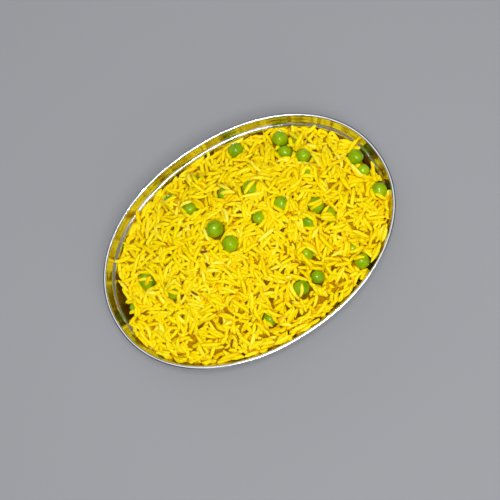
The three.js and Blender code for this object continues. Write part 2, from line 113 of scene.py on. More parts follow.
floor_material, _ = plain_material("grey_floor", FLOOR_GREY, roughness=0.8)
bpy.ops.mesh.primitive_plane_add(size=FLOOR_SIDE)
floor = bpy.context.object
floor.name = "floor"
floor.data.materials.append(floor_material)
print("floor's side, m:", FLOOR_SIDE)

# %% [markdown]
# ## Two soft boxes
# One soft box stands high at the near side, so a faint soft shadow falls behind the dish. A
# small one hangs overhead and gives the peas their bright spots. Both are area lights, placed
# by the direction that their light comes from, because that is what shadows and bright spots
# in a picture show.

# %% Hang the soft boxes
def soft_box(name, azimuth, elevation, distance, width, height, power):
    """An area light that looks at the dish from a direction given in degrees."""
    light = bpy.data.lights.new(name, "AREA")
    light.shape = "RECTANGLE"
    light.size = width
    light.size_y = height
    light.energy = power
    turn = math.radians(azimuth)
    lift = math.radians(elevation)
    towards = Vector((math.cos(turn) * math.cos(lift), math.sin(turn) * math.cos(lift), math.sin(lift)))
    lamp = bpy.data.objects.new(name, light)
    lamp.location = towards * distance
    lamp.rotation_mode = "QUATERNION"
    lamp.rotation_quaternion = towards.to_track_quat("Z", "Y")
    bpy.context.scene.collection.objects.link(lamp)


soft_box("near_soft_box", azimuth=-90, elevation=75, distance=1.2, width=0.4, height=0.5, power=7.6)
soft_box("top_soft_box", azimuth=-60, elevation=84, distance=1.1, width=0.12, height=0.12, power=2.3)
print("lights:", [light.name for light in bpy.data.lights])

# %% [markdown]
# ## Helpers for nodes
# The room and the materials are built from nodes. A node tree can be wired by hand in the
# Shader Editor, but from a script it is shorter to have one helper for each kind of node that
# comes back often. All of them work on anything that owns a node tree.

# %% Write the node helpers
def node(owner, kind, **settings):
    """Adds a node to a material or a world and sets its plain settings."""
    made = owner.node_tree.nodes.new(kind)
    for key, value in settings.items():
        setattr(made, key, value)
    return made


def math_node(owner, operation, *values):
    """The result of one operation on numbers and on other nodes' outputs."""
    made = node(owner, "ShaderNodeMath", operation=operation)
    for socket, value in zip(made.inputs, values):
        if isinstance(value, bpy.types.NodeSocket):
            owner.node_tree.links.new(value, socket)
        else:
            socket.default_value = value
    return made.outputs["Value"]


def noise_node(owner, coordinates, scale, detail=3.0, stretch=(1, 1, 1)):
    """A noise texture on stretched object coordinates."""
    links = owner.node_tree.links
    mapping = node(owner, "ShaderNodeMapping")
    mapping.inputs["Scale"].default_value = stretch
    links.new(coordinates.outputs["Object"], mapping.inputs["Vector"])
    texture = node(owner, "ShaderNodeTexNoise")
    texture.inputs["Scale"].default_value = scale
    texture.inputs["Detail"].default_value = detail
    links.new(mapping.outputs["Vector"], texture.inputs["Vector"])
    return texture


def ramp_node(owner, source, stops):
    """A colour ramp with stops given as (place, colour)."""
    ramp = node(owner, "ShaderNodeValToRGB")
    elements = ramp.color_ramp.elements
    while len(elements) < len(stops):
        elements.new(0.5)
    for element, (place, colour) in zip(elements, stops):
        element.position = place
        element.color = (*colour, 1)
    owner.node_tree.links.new(source, ramp.inputs["Fac"])
    return ramp


def bump_node(owner, source, distance, strength, under=None):
    """A bump from a texture, on top of another bump if one is given."""
    bump = node(owner, "ShaderNodeBump")
    bump.inputs["Distance"].default_value = distance
    bump.inputs["Strength"].default_value = strength
    owner.node_tree.links.new(source, bump.inputs["Height"])
    if under:
        owner.node_tree.links.new(under.outputs["Normal"], bump.inputs["Normal"])
    return bump


# %% [markdown]
# ## The room
# The rest of the light is the world itself: bright above and at the near and far sides, but
# dark at floor level to the left and right, because polished steel shows what is round it and
# needs something dark to look like steel. Walls and cards could be built for that, but two grey
# ramps that are multiplied are enough. One follows the upward part of a direction, and the
# other asks how far the direction points near, far or up.

# %% Shade the room
ROOM_STRENGTH = 1.3
ROOM_TINT = (0.97, 0.98, 1.0)
HEIGHT_STOPS = [(0.0, 0.02), (0.14, 0.06), (0.5, 0.7), (1.0, 1.0)]  # upward part, brightness
SIDE_STOPS = [(0.0, 0.12), (0.84, 0.22), (0.94, 0.75), (1.0, 1.0)]  # near, far or up, brightness
NEAR_FAR_SHARE = 1.25  # how much the near or far part of a direction counts against its upward part


def grey_ramp(source, stops):
    """A ramp of the room's cool greys."""
    tinted = [(place, [value * tint for tint in ROOM_TINT]) for place, value in stops]
    return ramp_node(room, source, tinted).outputs["Color"]


room = bpy.data.worlds.new("room")
room.use_nodes = True
room_links = room.node_tree.links
split = node(room, "ShaderNodeSeparateXYZ")
room_links.new(node(room, "ShaderNodeTexCoord").outputs["Generated"], split.inputs["Vector"])
off_axis = math_node(room, "ABSOLUTE", split.outputs["Y"])
near_or_far = math_node(room, "MULTIPLY", off_axis, NEAR_FAR_SHARE)
outward = math_node(room, "MAXIMUM", near_or_far, split.outputs["Z"])
product = node(room, "ShaderNodeMixRGB", blend_type="MULTIPLY")
product.inputs["Fac"].default_value = 1
room_links.new(grey_ramp(split.outputs["Z"], HEIGHT_STOPS), product.inputs["Color1"])
room_links.new(grey_ramp(outward, SIDE_STOPS), product.inputs["Color2"])
background = room.node_tree.nodes["Background"]
room_links.new(product.outputs["Color"], background.inputs["Color"])
background.inputs["Strength"].default_value = ROOM_STRENGTH
bpy.context.scene.world = room
print("nodes in the room:", len(room.node_tree.nodes))

# %% [markdown]
# ## Helpers for making pieces
# Every piece of the part is a mesh object that rides on the part's one body, and the imported
# solid that it stands for is hidden. Large meshes are filled from arrays, because adding vertices
# one at a time is slow.

# %% Write the helpers
def mesh_from_arrays(name, points, faces):
    """A smooth mesh from an array of points and an array of faces with equal corner counts."""
    points = np.asarray(points, np.float32).reshape(-1, 3)
    faces = np.asarray(faces, np.int32)
    mesh = bpy.data.meshes.new(name)
    mesh.vertices.add(len(points))
    mesh.vertices.foreach_set("co", points.ravel())
    mesh.loops.add(faces.size)
    mesh.loops.foreach_set("vertex_index", faces.ravel())
    mesh.polygons.add(len(faces))
    mesh.polygons.foreach_set("loop_start", np.arange(0, faces.size, faces.shape[1], dtype=np.int32))
    mesh.update(calc_edges=True)
    mesh.validate()
    mesh.shade_smooth()
    return mesh


def add_values(mesh, name, values):
    """Stores one number for each vertex under a name that a material can read."""
    layer = mesh.attributes.new(name, "FLOAT", "POINT")
    layer.data.foreach_set("value", np.asarray(values, np.float32).ravel())


def place_piece(name, mesh, material, slot, *solids):
    """Puts a mesh in the scene as a piece that stands for these solids."""
    piece = bpy.data.objects.new(name, mesh)
    piece.data.materials.append(material)
    bpy.context.scene.collection.objects.link(piece)
    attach(piece, "root")
    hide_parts(*solids)
    return piece


# %% [markdown]
# ## The oval
# The dish's outline is a superellipse: an ellipse that is very slightly squarer. Every row of
# the dish and of the rice follows it at some inset, which is a distance inwards from the
# outermost edge, measured square to the edge.

# %% Describe the oval
DISH_LENGTH = 178 * MM
DISH_WIDTH = 126.4 * MM
DISH_HEIGHT = 34 * MM
ROUNDNESS = 2.11  # 2 is a true ellipse
DEEPEST_SQUARE_INSET = 20.5 * MM  # deeper rows shrink evenly to the middle
COLUMNS = 192

half_length = DISH_LENGTH / 2
half_width = DISH_WIDTH / 2


def oval_fraction(x, y):
    """How far out a point is: 0 in the middle and 1 on the dish's outermost edge."""
    inside = np.abs(x / half_length) ** ROUNDNESS + np.abs(y / half_width) ** ROUNDNESS
    return inside ** (1 / ROUNDNESS)


def oval_ring(inset):
    """Points round the oval, counter-clockwise, at one inset or at one for each column."""
    inset = np.broadcast_to(inset, COLUMNS)[:, None]
    turn = np.arange(COLUMNS) / COLUMNS * 2 * np.pi
    power = 2 / ROUNDNESS
    rim = np.stack([
        half_length * np.sign(np.cos(turn)) * np.abs(np.cos(turn)) ** power,
        half_width * np.sign(np.sin(turn)) * np.abs(np.sin(turn)) ** power,
    ], axis=1)
    inward = -np.sign(rim) * np.abs(rim / [half_length, half_width]) ** (ROUNDNESS - 1)
    inward /= [half_length, half_width]
    inward /= np.linalg.norm(inward, axis=1, keepdims=True)
    square = np.minimum(inset, DEEPEST_SQUARE_INSET)
    shrink = (half_width - inset) / (half_width - square)
    return (rim + inward * square) * shrink


def closed_rows(name, rings):
    """A closed mesh through rings of points that start and end at a single middle point."""
    points = np.concatenate([rings[0][:1], *rings[1:-1], rings[-1][:1]])
    column = np.arange(COLUMNS)
    onward = (column + 1) % COLUMNS
    faces = []
    for row in range(len(rings) - 3):
        low = 1 + row * COLUMNS
        high = low + COLUMNS
        faces.append(np.stack([low + column, low + onward, high + onward], axis=1))
        faces.append(np.stack([low + column, high + onward, high + column], axis=1))
    last = len(points) - 1
    top = last - COLUMNS
    faces.append(np.stack([np.zeros_like(column), 1 + onward, 1 + column], axis=1))
    faces.append(np.stack([top + column, top + onward, np.full_like(column, last)], axis=1))
    return mesh_from_arrays(name, points, np.concatenate(faces))


print("oval, mm:", np.ptp(oval_ring(0), axis=0) / MM)

# %% [markdown]
# ## The steel dish
# Such a dish is pressed from one thin sheet: a flat foot, a leaning wall, a narrow ledge that a
# lid can sit on, a short upper wall and a rolled edge. It could be drawn as a curve and turned
# with a Screw modifier, but the dish isn't round, so its rows are swept round the oval instead.
# The profile is a few corner points, and each corner is rounded by an arc.

# %% Round a corner
def rounded(before, corner, after, radius, steps):
    """Points of an arc that rounds the corner between two straight stretches."""
    behind = (before - corner) / np.linalg.norm(before - corner)
    onward = (after - corner) / np.linalg.norm(after - corner)
    half_angle = math.acos(np.clip(behind @ onward, -1, 1)) / 2
    middle = (behind + onward) / np.linalg.norm(behind + onward)
    centre = corner + middle * radius / math.sin(half_angle)
    reach = radius / math.tan(half_angle)
    start = corner + behind * reach - centre
    end = corner + onward * reach - centre
    first = math.atan2(start[1], start[0])
    sweep = math.atan2(start[0] * end[1] - start[1] * end[0], start @ end)
    angles = first + sweep * np.linspace(0, 1, steps)
    return centre + radius * np.stack([np.cos(angles), np.sin(angles)], axis=1)


# %% [markdown]
# The inside and the outside are two runs of rows, one sheet apart, and the rolled edge joins
# them. Each row is an inset and a height. A wide arc leads from the foot to the wall, and two
# small ones shape the ledge, which leans inwards and so mirrors the dark sides of the room.

# %% Draw the dish's profile
SHEET = 0.8 * MM
BEAD = 1.1 * MM  # radius of the rolled edge
BEAD_SWEEP = math.radians(286)
BEAD_ROWS = 18
LEDGE_OUTER = np.array([4.0, 34 - 6.2]) * MM  # inset and height
LEDGE_INNER = np.array([6.0, 34 - 7.4]) * MM
LEDGE_CORNER = 0.9 * MM
LEDGE_SHIFT = np.array([0.8, 1])  # how the ledge's corners move through the sheet
LEDGE_STEPS = (5, 6)
FLOOR_INSET = 15 * MM
FLOOR_CORNER = 11 * MM
FLOOR_CORNER_STEPS = 14
FLOOR_ROWS = np.linspace(0.1, 0.9, 8)[:, None]
WALL_ROWS = np.array([[0.5], [0.65], [0.8], [0.9]])
UPPER_ROWS = np.array([[0.45], [0.7]])


def sheet_face(offset):
    """Inside face for offset 0 and outside face for one sheet: rows of inset and height."""
    lean = math.atan2(FLOOR_INSET - LEDGE_INNER[0], LEDGE_INNER[1] - SHEET)
    middle = np.array([half_width, SHEET - offset])
    floor_corner = np.array([FLOOR_INSET - offset * math.tan(math.pi / 4 - lean / 2), SHEET - offset])
    ledge_in = LEDGE_INNER - offset * LEDGE_SHIFT
    ledge_out = LEDGE_OUTER - offset * LEDGE_SHIFT
    lip = np.array([2 * BEAD - offset, DISH_HEIGHT - BEAD])
    inner = LEDGE_CORNER + (0 if offset else SHEET)
    outer = LEDGE_CORNER + (SHEET if offset else 0)
    return np.concatenate([
        [middle],
        middle + (floor_corner + [FLOOR_CORNER, 0] - middle) * FLOOR_ROWS,
        rounded(middle, floor_corner, ledge_in, FLOOR_CORNER + offset, FLOOR_CORNER_STEPS),
        floor_corner + (ledge_in - floor_corner) * WALL_ROWS,
        rounded(floor_corner, ledge_in, ledge_out, inner, LEDGE_STEPS[0]),
        rounded(ledge_in, ledge_out, lip, outer, LEDGE_STEPS[1]),
        ledge_out + (lip - ledge_out) * UPPER_ROWS,
    ])


inside_face = sheet_face(0)
outside_face = sheet_face(SHEET)
bead_angles = BEAD_SWEEP * (1 - np.linspace(0, 1, BEAD_ROWS))
bead_centre = np.array([BEAD, DISH_HEIGHT - BEAD])
bead_rows = bead_centre + BEAD * np.stack([np.cos(bead_angles), np.sin(bead_angles)], axis=1)
dish_profile = np.concatenate([outside_face, bead_rows, inside_face[::-1]])
print("profile rows:", len(dish_profile))

# %% [markdown]
# Pressed steel is never perfectly even. Its reflections waver, it has fine rubbing marks from
# many washes, and some patches are a little duller. The press and the polishing wheel also
# leave faint rings that run round the dish. A bump from two noises and one that only changes
# from row to row, and a roughness that changes from place to place, give this without touching
# the form.

# %% Mix the polished steel
STEEL_DULL, STEEL_BRIGHT = (0.66, 0.67, 0.69), (0.82, 0.82, 0.83)
STEEL_SMOOTH, STEEL_RUBBED = (0.06,) * 3, (0.17,) * 3  # roughness
RING_SCALE = 1300
RING_DRIFT = 0.6 * MM  # how far the rings stray from their rows


def polished_steel():
    """Bright pressed steel with wavering reflections and fine rubbing marks."""
    material, shader = plain_material("polished_steel", STEEL_BRIGHT, roughness=0.14)
    shader.inputs["Metallic"].default_value = 1.0
    links = material.node_tree.links
    coordinates = node(material, "ShaderNodeTexCoord")
    waver = noise_node(material, coordinates, scale=60, detail=2)
    rubbing = noise_node(material, coordinates, scale=900, detail=2, stretch=(1, 0.12, 1))
    bump = bump_node(material, waver.outputs["Fac"], distance=0.4 * MM, strength=0.35)
    bump = bump_node(material, rubbing.outputs["Fac"], distance=0.02 * MM, strength=0.3, under=bump)
    row = node(material, "ShaderNodeAttribute", attribute_name="row")
    rings = node(material, "ShaderNodeTexNoise", noise_dimensions="1D")
    drifting = math_node(material, "MULTIPLY_ADD", waver.outputs["Fac"], RING_DRIFT, row.outputs["Fac"])
    links.new(drifting, rings.inputs["W"])
    rings.inputs["Scale"].default_value = RING_SCALE
    rings.inputs["Detail"].default_value = 1
    bump = bump_node(material, rings.outputs["Fac"], distance=0.3 * MM, strength=0.55, under=bump)
    dull = noise_node(material, coordinates, scale=220, detail=4)
    roughness = ramp_node(material, dull.outputs["Fac"], [(0.35, STEEL_SMOOTH), (0.75, STEEL_RUBBED)])
    tint = noise_node(material, coordinates, scale=45)
    colour = ramp_node(material, tint.outputs["Fac"], [(0.3, STEEL_DULL), (0.7, STEEL_BRIGHT)])
    links.new(colour.outputs["Color"], shader.inputs["Base Color"])
    links.new(roughness.outputs["Color"], shader.inputs["Roughness"])
    links.new(bump.outputs["Normal"], shader.inputs["Normal"])
    return material


# %% [markdown]
# Now each row of the profile becomes one ring of the oval at its own inset, and neighbouring
# rings are joined by triangles. How far along the profile each ring lies is stored with its
# vertices, because the steel's faint rings follow it.

# %% Make the dish
dish_rings = [
    np.column_stack([oval_ring(inset), np.full(COLUMNS, height)]) for inset, height in dish_profile
]
dish_mesh = closed_rows("steel_dish", dish_rings)
row_steps = np.linalg.norm(np.diff(dish_profile, axis=0), axis=1)
row_places = np.concatenate([[0], np.cumsum(row_steps)])
ring_places = np.repeat(row_places[1:-1], COLUMNS)
add_values(dish_mesh, "row", np.concatenate([row_places[:1], ring_places, row_places[-1:]]))
place_piece("steel_dish", dish_mesh, polished_steel(), "steel", "dish")
print("dish triangles:", len(dish_mesh.polygons))

# %% [markdown]
# ## How high the rice lies
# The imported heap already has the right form, so the grains take it from there. Rays are cast
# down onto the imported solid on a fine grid. The peas' places and sizes come from the packed
# model too, read from the box of each.

# %% Read the heap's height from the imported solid
GRID_STEP = 0.4 * MM
GRID_HALF_X = 91 * MM
GRID_HALF_Y = 65 * MM
RAY_START = 1  # metre above the floor

grid_x = np.arange(-GRID_HALF_X, GRID_HALF_X, GRID_STEP)
grid_y = np.arange(-GRID_HALF_Y, GRID_HALF_Y, GRID_STEP)
map_x, map_y = np.meshgrid(grid_x, grid_y, indexing="ij")

packed_rice = BVHTree.FromObject(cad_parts["rice"], bpy.context.evaluated_depsgraph_get())
down = Vector((0, 0, -1))
hit_height = np.full(map_x.shape, np.nan)
for column, x in enumerate(grid_x):
    for row, y in enumerate(grid_y):
        place = packed_rice.ray_cast(Vector((x, y, RAY_START)), down)[0]
        if place is not None:
            hit_height[column, row] = place.z

pea_names = sorted(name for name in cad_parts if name.startswith("pea_"))
peas = {}
for name in pea_names:
    low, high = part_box(name)
    peas[name] = {"middle": (low + high) / 2, "radius": max(high - low) / 2}
print("cells that meet rice:", int((~np.isnan(hit_height)).sum()))

# %% [markdown]
# The hollows under the peas are left out and filled from what is round them, and a blur takes
# away the single ridges. What is left is a smooth map of heights that the loose grains are
# built up to. Small clumps and dips are added, because no heap of rice is smooth, and the near
# slope has deeper ones.

# %% Smooth the map of heights
def blurred(values, reach):
    """The values with a round soft brush run over them."""
    cells = reach / GRID_STEP
    steps = np.arange(-int(3 * cells), int(3 * cells) + 1)
    brush = np.exp(-0.5 * (steps / cells) ** 2)
    brush /= brush.sum()
    for axis in (0, 1):
        values = np.apply_along_axis(np.convolve, axis, values, brush, mode="same")
    return values


def plan_distance(middle):
    """Distance in plan from each cell of the map to a place."""
    return np.hypot(map_x - middle.x, map_y - middle.y)


BLUR = 2.6 * MM
PEA_HOLLOW = 1.5 * MM  # the heap's form isn't read this near to a pea
RELIEF_SEED = 3
RELIEF_SIZE = 1.8 * MM
RELIEF = 0.35 * MM
LOOSE_RELIEF = 1.3 * MM  # on the near slope, where the rice lies more loosely
LOOSE_FROM = np.array([-12, -34]) * MM  # where the near slope begins and is at its loosest

known = ~np.isnan(hit_height)
in_rice = known.copy()
for pea in peas.values():
    known &= plan_distance(pea["middle"]) > pea["radius"] + PEA_HOLLOW
weight = blurred(known.astype(float), BLUR)
heap_top = blurred(np.where(known, hit_height, 0), BLUR) / np.maximum(weight, 1e-9)
looseness = np.interp(-map_y, -LOOSE_FROM, [RELIEF, LOOSE_RELIEF])
clumps = blurred(np.random.default_rng(RELIEF_SEED).normal(size=map_x.shape), RELIEF_SIZE)
heap_top += looseness * clumps / clumps.std()
print("heap's top, mm:", round(heap_top[in_rice].max() / MM, 1))

# %% [markdown]
# The dish's inside face is put on the same map, so that a grain near the edge leans on the
# ledge or the wall as a real one does. The inset of a cell is found from how fast the oval's
# fraction changes there.

# %% Put the dish's inside face on the map
fraction = oval_fraction(map_x, map_y)
slope_x, slope_y = np.gradient(fraction, GRID_STEP)
map_inset = (1 - fraction) / np.maximum(np.hypot(slope_x, slope_y), 1e-6)
wall_rows = np.concatenate([inside_face[::-1][:-1], [[half_width, SHEET]]])
wall_rows = wall_rows[np.argsort(wall_rows[:, 0])]
wall_height = np.interp(map_inset, wall_rows[:, 0], wall_rows[:, 1])
print("wall height at the ledge, mm:", round(np.interp(LEDGE_INNER[0], *wall_rows.T) / MM, 1))

# %% [markdown]
# ## Where the rice ends
# The heap's edge isn't an even oval: here it spills over the ledge, and there it stands back
# from the wall and leaves a dark gap. For each column of the oval the map is read inwards from
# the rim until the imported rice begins. A running middle value drops the single grains that
# reach out over the edge.

# %% Find the heap's edge
EDGE_STEP = 0.25 * MM
EDGE_REACH = 18 * MM
EDGE_WINDOW = 4  # columns on each side


def cell_of(x, y):
    """The map's cell at a place, kept inside the map."""
    column = np.clip(((x + GRID_HALF_X) / GRID_STEP).astype(int), 0, len(grid_x) - 1)
    row = np.clip(((y + GRID_HALF_Y) / GRID_STEP).astype(int), 0, len(grid_y) - 1)
    return column, row


edge_insets = np.arange(0, EDGE_REACH, EDGE_STEP)
rice_seen = np.array([in_rice[cell_of(*oval_ring(inset).T)] for inset in edge_insets])
first_rice = edge_insets[rice_seen.argmax(axis=0)]
neighbours = [np.roll(first_rice, shift) for shift in range(-EDGE_WINDOW, EDGE_WINDOW + 1)]
rice_edge = np.median(neighbours, axis=0)
print("insets where the rice begins, mm:", (np.array([rice_edge.min(), rice_edge.max()]) / MM).round(1))

# %% [markdown]
# ## The bed under the grains
# Only the upper layers of rice can be seen, so the depth of the heap is one dark, uneven bed.
# It is swept round the oval like the dish, stays clear of the wall, and its top lies a few
# grains below the finished surface. Its dark orange-brown colour is painted shade: through the
# gaps between grains it gives the deep brown shade that lies down there in a heap of rice.

# %% Make the bed
BED_DEPTH = 3.3 * MM
BED_WALL_GAP = 0.9 * MM
BED_FLOOR_GAP = 0.4 * MM
BED_BACK = 1.0 * MM  # how far the bed stays behind the heap's edge
BED_ROUGHNESS = 0.9 * MM
BED_LUMP = 2.4 * MM
BED_TOP_ROWS = 52


def lumpy(points, size, amount):
    """Small heights from a noise, for places given as rows of x, y and z."""
    return np.array([noise.noise(Vector(point) / size) for point in points]) * amount


bed_edge = np.maximum(rice_edge, LEDGE_INNER[0]) + BED_BACK
bed_rings = []
for inset, height in inside_face[:1 + len(FLOOR_ROWS) + FLOOR_CORNER_STEPS]:
    flat = oval_ring(np.maximum(inset + BED_WALL_GAP, bed_edge))
    bed_rings.append(np.column_stack([flat, np.full(COLUMNS, height + BED_FLOOR_GAP)]))
for share in np.linspace(0, 1, BED_TOP_ROWS):
    flat = oval_ring(bed_edge + (half_width - bed_edge) * share)
    height = heap_top[cell_of(*flat.T)] - BED_DEPTH
    ring = np.column_stack([flat, height])
    ring[:, 2] += lumpy(ring, BED_LUMP, BED_ROUGHNESS)
    bed_rings.append(ring)
bed_mesh = closed_rows("rice_bed", bed_rings)
print("bed triangles:", len(bed_mesh.polygons))

# %% [markdown]
# Cooked rice that is coloured with turmeric or saffron is a strong, slightly orange yellow, and
# it lets light in a little way, so the shadows between grains stay warm. Each grain has its own
# tone, stored on its vertices: some are deep yellow and some are paler and more see-through.
# A second stored number says how far a point lies below the heap's surface. Down there light
# has bounced off many grains and has turned orange, so painted shade moves the colour towards
# orange too.

# %% Mix the rice
RICE_DEEP = (0.87, 0.61, 0.0)
RICE_MIDDLE = (0.93, 0.72, 0.0)
RICE_PALE = (0.97, 0.79, 0.01)
RICE_SHADED = (0.78, 0.44, 0.0)
MOTTLING = 0.5  # how much the tone changes along a grain


def rice_material(name, stops, roughness, wetness):
    """Moist cooked rice: a yellow from each grain's tone, soft inside and a little glossy."""
    material, shader = plain_material(name, stops[1][1], roughness)
    links = material.node_tree.links
    tone = node(material, "ShaderNodeAttribute", attribute_name="tone")
    coordinates = node(material, "ShaderNodeTexCoord")
    mottling = noise_node(material, coordinates, scale=700)
    mixed = math_node(material, "MULTIPLY_ADD", mottling.outputs["Fac"], MOTTLING, tone.outputs["Fac"])
    colour = ramp_node(material, math_node(material, "SUBTRACT", mixed, MOTTLING / 2), stops)
    # painted shade: points deep under the heap's surface are coloured towards orange
    shade = node(material, "ShaderNodeAttribute", attribute_name="shade")
    shaded = node(material, "ShaderNodeMixRGB")
    links.new(shade.outputs["Fac"], shaded.inputs["Fac"])
    links.new(colour.outputs["Color"], shaded.inputs["Color1"])
    shaded.inputs["Color2"].default_value = (*RICE_SHADED, 1)
    links.new(shaded.outputs["Color"], shader.inputs["Base Color"])
    skin = noise_node(material, coordinates, scale=1500)
    bump = bump_node(material, skin.outputs["Fac"], distance=0.12 * MM, strength=0.5)
    links.new(bump.outputs["Normal"], shader.inputs["Normal"])
    shader.inputs["Subsurface Weight"].default_value = 0.3
    shader.inputs["Subsurface Radius"].default_value = (0.85, 1.0, 0.1)
    shader.inputs["Subsurface Scale"].default_value = 1.4 * MM
    shader.inputs["Specular IOR Level"].default_value = 0.2
    shader.inputs["Specular Tint"].default_value = (1.0, 0.85, 0.3, 1)
    shader.inputs["Coat Weight"].default_value = wetness
    shader.inputs["Coat Roughness"].default_value = 0.3
    return material


deep_stops = [(0.0, RICE_DEEP), (0.5, RICE_MIDDLE), (1.0, RICE_PALE)]
deep_rice = rice_material("deep_yellow_rice", deep_stops, roughness=0.5, wetness=0.0)
pale_stops = [(0.0, RICE_MIDDLE), (0.5, (0.98, 0.80, 0.01)), (1.0, (1.0, 0.88, 0.08))]
pale_rice = rice_material("pale_yellow_rice", pale_stops, roughness=0.4, wetness=0.04)
# painted shade: the bed's dark orange-brown stands for the shade deep between the grains
bed_stops = [(0.0, (0.22, 0.08, 0.0)), (0.5, (0.62, 0.32, 0.0)), (1.0, (0.85, 0.50, 0.0))]
bed_rice = rice_material("shaded_rice", bed_stops, roughness=0.6, wetness=0.0)

add_values(bed_mesh, "shade", np.zeros(len(bed_mesh.vertices)))
place_piece("rice_bed", bed_mesh, bed_rice, "rice", "rice")

# %% [markdown]
# ## Letting the grains fall
# A rigid-body simulation of two thousand grains would be slow and would differ between
# machines. Instead each grain is laid by a simple rule on a map of heights. The map starts with
# the bed, the dish's wall and the backs of the peas, and every grain that is laid adds to it.

# %% Start the map with the bed, the wall and the peas
def over_map(insets):
    """Spreads one inset for each column over the whole map, by the direction from the middle."""
    ring = oval_ring(insets)
    ring_turns = np.arctan2(ring[:, 1], ring[:, 0])
    return np.interp(np.arctan2(map_y, map_x), ring_turns, insets, period=2 * np.pi)


PEA_BACK = 0.86  # share of a pea's radius that carries grains, as they press into its flank
ground = np.where(map_inset > over_map(bed_edge), heap_top - BED_DEPTH, 0)
ground = np.maximum(ground, wall_height)
for pea in peas.values():
    distance = plan_distance(pea["middle"])
    dome = np.sqrt(np.maximum(pea["radius"] ** 2 - distance ** 2, 0))
    on_pea = distance < PEA_BACK * pea["radius"]
    ground = np.where(on_pea, np.maximum(ground, pea["middle"].z + dome), ground)
print("map cells:", ground.size)

# %% [markdown]
# ## What shows of each pea
# Most of the peas are covered, a little or a lot. What shows of such a pea is a round window that
# the grains keep clear of. It is smaller than the pea and lies to one side of it. The windows are
# read from the picture: share of the pea's radius, how far off the middle, and which way.

# %% Note what shows of each pea
WINDOWS = {
    "pea_02": (0.85, 0.15, -13), "pea_03": (0.85, 0.15, 67), "pea_04": (0.3, 0.25, 167),
    "pea_05": (0.8, 0.1, -33), "pea_07": (0.8, 0.25, -13), "pea_08": (0.8, 0.25, 47),
    "pea_09": (0.3, 0.45, 27), "pea_10": (0.55, 0.5, 137), "pea_11": (0.8, 0.0, 0),
    "pea_12": (0.55, 0.5, 87), "pea_13": (0.7, 0.15, -23), "pea_14": (0.7, 0.2, 47),
    "pea_15": (0.95, 0.0, 0), "pea_16": (0.45, 0.55, -3), "pea_17": (0.6, 0.2, 167),
    "pea_18": (0.65, 0.1, 102), "pea_20": (0.88, 0.1, 77), "pea_21": (0.45, 0.25, -53),
    "pea_24": (0.85, 0.1, -53), "pea_25": (0.2, 0.1, 0), "pea_26": (0.8, 0.0, 0),
    "pea_27": (0.5, 0.55, -133), "pea_28": (0.35, 0.7, 147), "pea_29": (0.4, 0.0, 0),
    "pea_30": (0.2, 0.0, 0),
}
WHOLE = (0.94, 0.0, 0)
windows = []
for name, pea in peas.items():
    share, off, degrees = WINDOWS.get(name, WHOLE)
    aim = Vector((math.cos(math.radians(degrees)), math.sin(math.radians(degrees)), 0))
    windows.append((*(pea["middle"] + aim * off * pea["radius"]).xy, share * pea["radius"]))
windows = np.array(windows)
print("peas that show whole:", len(peas) - len(WINDOWS))

# %% [markdown]
# ## Small holes
# Loosely heaped rice has a few small dark holes between its grains. The ones that show best are
# kept open: no grain may lie over their middle, and the bed is deeper there and painted darker as
# shade. Close round the peas the bed is painted darker too, as shade, because little light gets
# in between.

# %% Keep a few small holes open
HOLES = [  # mm
    (14, -34.5), (10, -30), (7, -26.5), (-16, -41), (-29, -43), (-3, -45), (-5, -26), (-32, 28.5),
    (-28, 25.5), (-27, -1), (-42, 17), (-44, -1), (-27, -7), (34, 5), (53, -10), (19, -7.5),
    (12, 34), (60, 22), (30, -40), (-12, 8), (-55, -16), (4, 14), (44, -27), (-58, 8),
    (-38, -30), (-50, -26), (-20, -30), (-8, -36), (20, -44), (-14, -48), (0, -51), (24, -30),
]
HOLE_RADIUS = 0.85 * MM
HOLE_DEPTH = 2.5 * MM
HOLE_BRUSH = 1.6 * MM
PEA_SHADOW = 1.8 * MM  # the bed is darker this far round a pea
PEA_SHADE = 0.7  # how dark it is there, where 1 is a hole's darkness
BED_TONE = 0.4
BED_TOP_FROM = HOLE_DEPTH + FLOOR_CORNER  # only the bed's top sinks, not its underside

holes = np.array(HOLES) * MM
windows = np.concatenate([windows, np.column_stack([holes, np.full(len(holes), HOLE_RADIUS)])])


def hole_share(x, y):
    """How much places belong to a hole: 1 in its middle and 0 far from all of them."""
    distance = np.hypot(np.subtract.outer(x, holes[:, 0]), np.subtract.outer(y, holes[:, 1]))
    return np.exp(-0.5 * (distance.min(axis=-1) / HOLE_BRUSH) ** 2)


ground = np.maximum(ground - HOLE_DEPTH * hole_share(map_x, map_y), wall_height)
bed_points = np.empty(len(bed_mesh.vertices) * 3)
bed_mesh.vertices.foreach_get("co", bed_points)
bed_points = bed_points.reshape(-1, 3)
bed_hole = hole_share(*bed_points[:, :2].T)
bed_points[:, 2] -= np.where(bed_points[:, 2] > BED_TOP_FROM, HOLE_DEPTH * bed_hole, 0)
bed_mesh.vertices.foreach_set("co", bed_points.ravel())
for pea in peas.values():
    off = np.hypot(bed_points[:, 0] - pea["middle"].x, bed_points[:, 1] - pea["middle"].y)
    bed_hole = np.maximum(bed_hole, PEA_SHADE * (off < pea["radius"] + PEA_SHADOW))
# painted shade: the bed's tone is darker in the holes and round the peas
add_values(bed_mesh, "tone", BED_TONE * (1 - bed_hole))
print("holes:", len(holes))

# %% [markdown]
# ## The form of one grain
# A cooked long grain is a slim body that tapers to both tips. Hardly one is straight: most have
# a crook to one side, some a slight S, and many arch up or sag. A curve object with a bevel could
# give that, but plain formulas can be used both for laying the grains and for their meshes.

# %% Describe a grain
GRAIN_LENGTH = 10.8 * MM
GRAIN_WIDTH = 2.25 * MM
GRAIN_DEPTH = 1.75 * MM
TAPER = 3
BLUNTNESS = 0.55
BEND_MIDDLE = 0.4
SWAY_BACK = 0.6

along = np.linspace(-1, 1, 15)  # places where a grain is compared with the map
across = np.array([-0.6, 0.0, 0.6])
centre_place = len(along) // 2


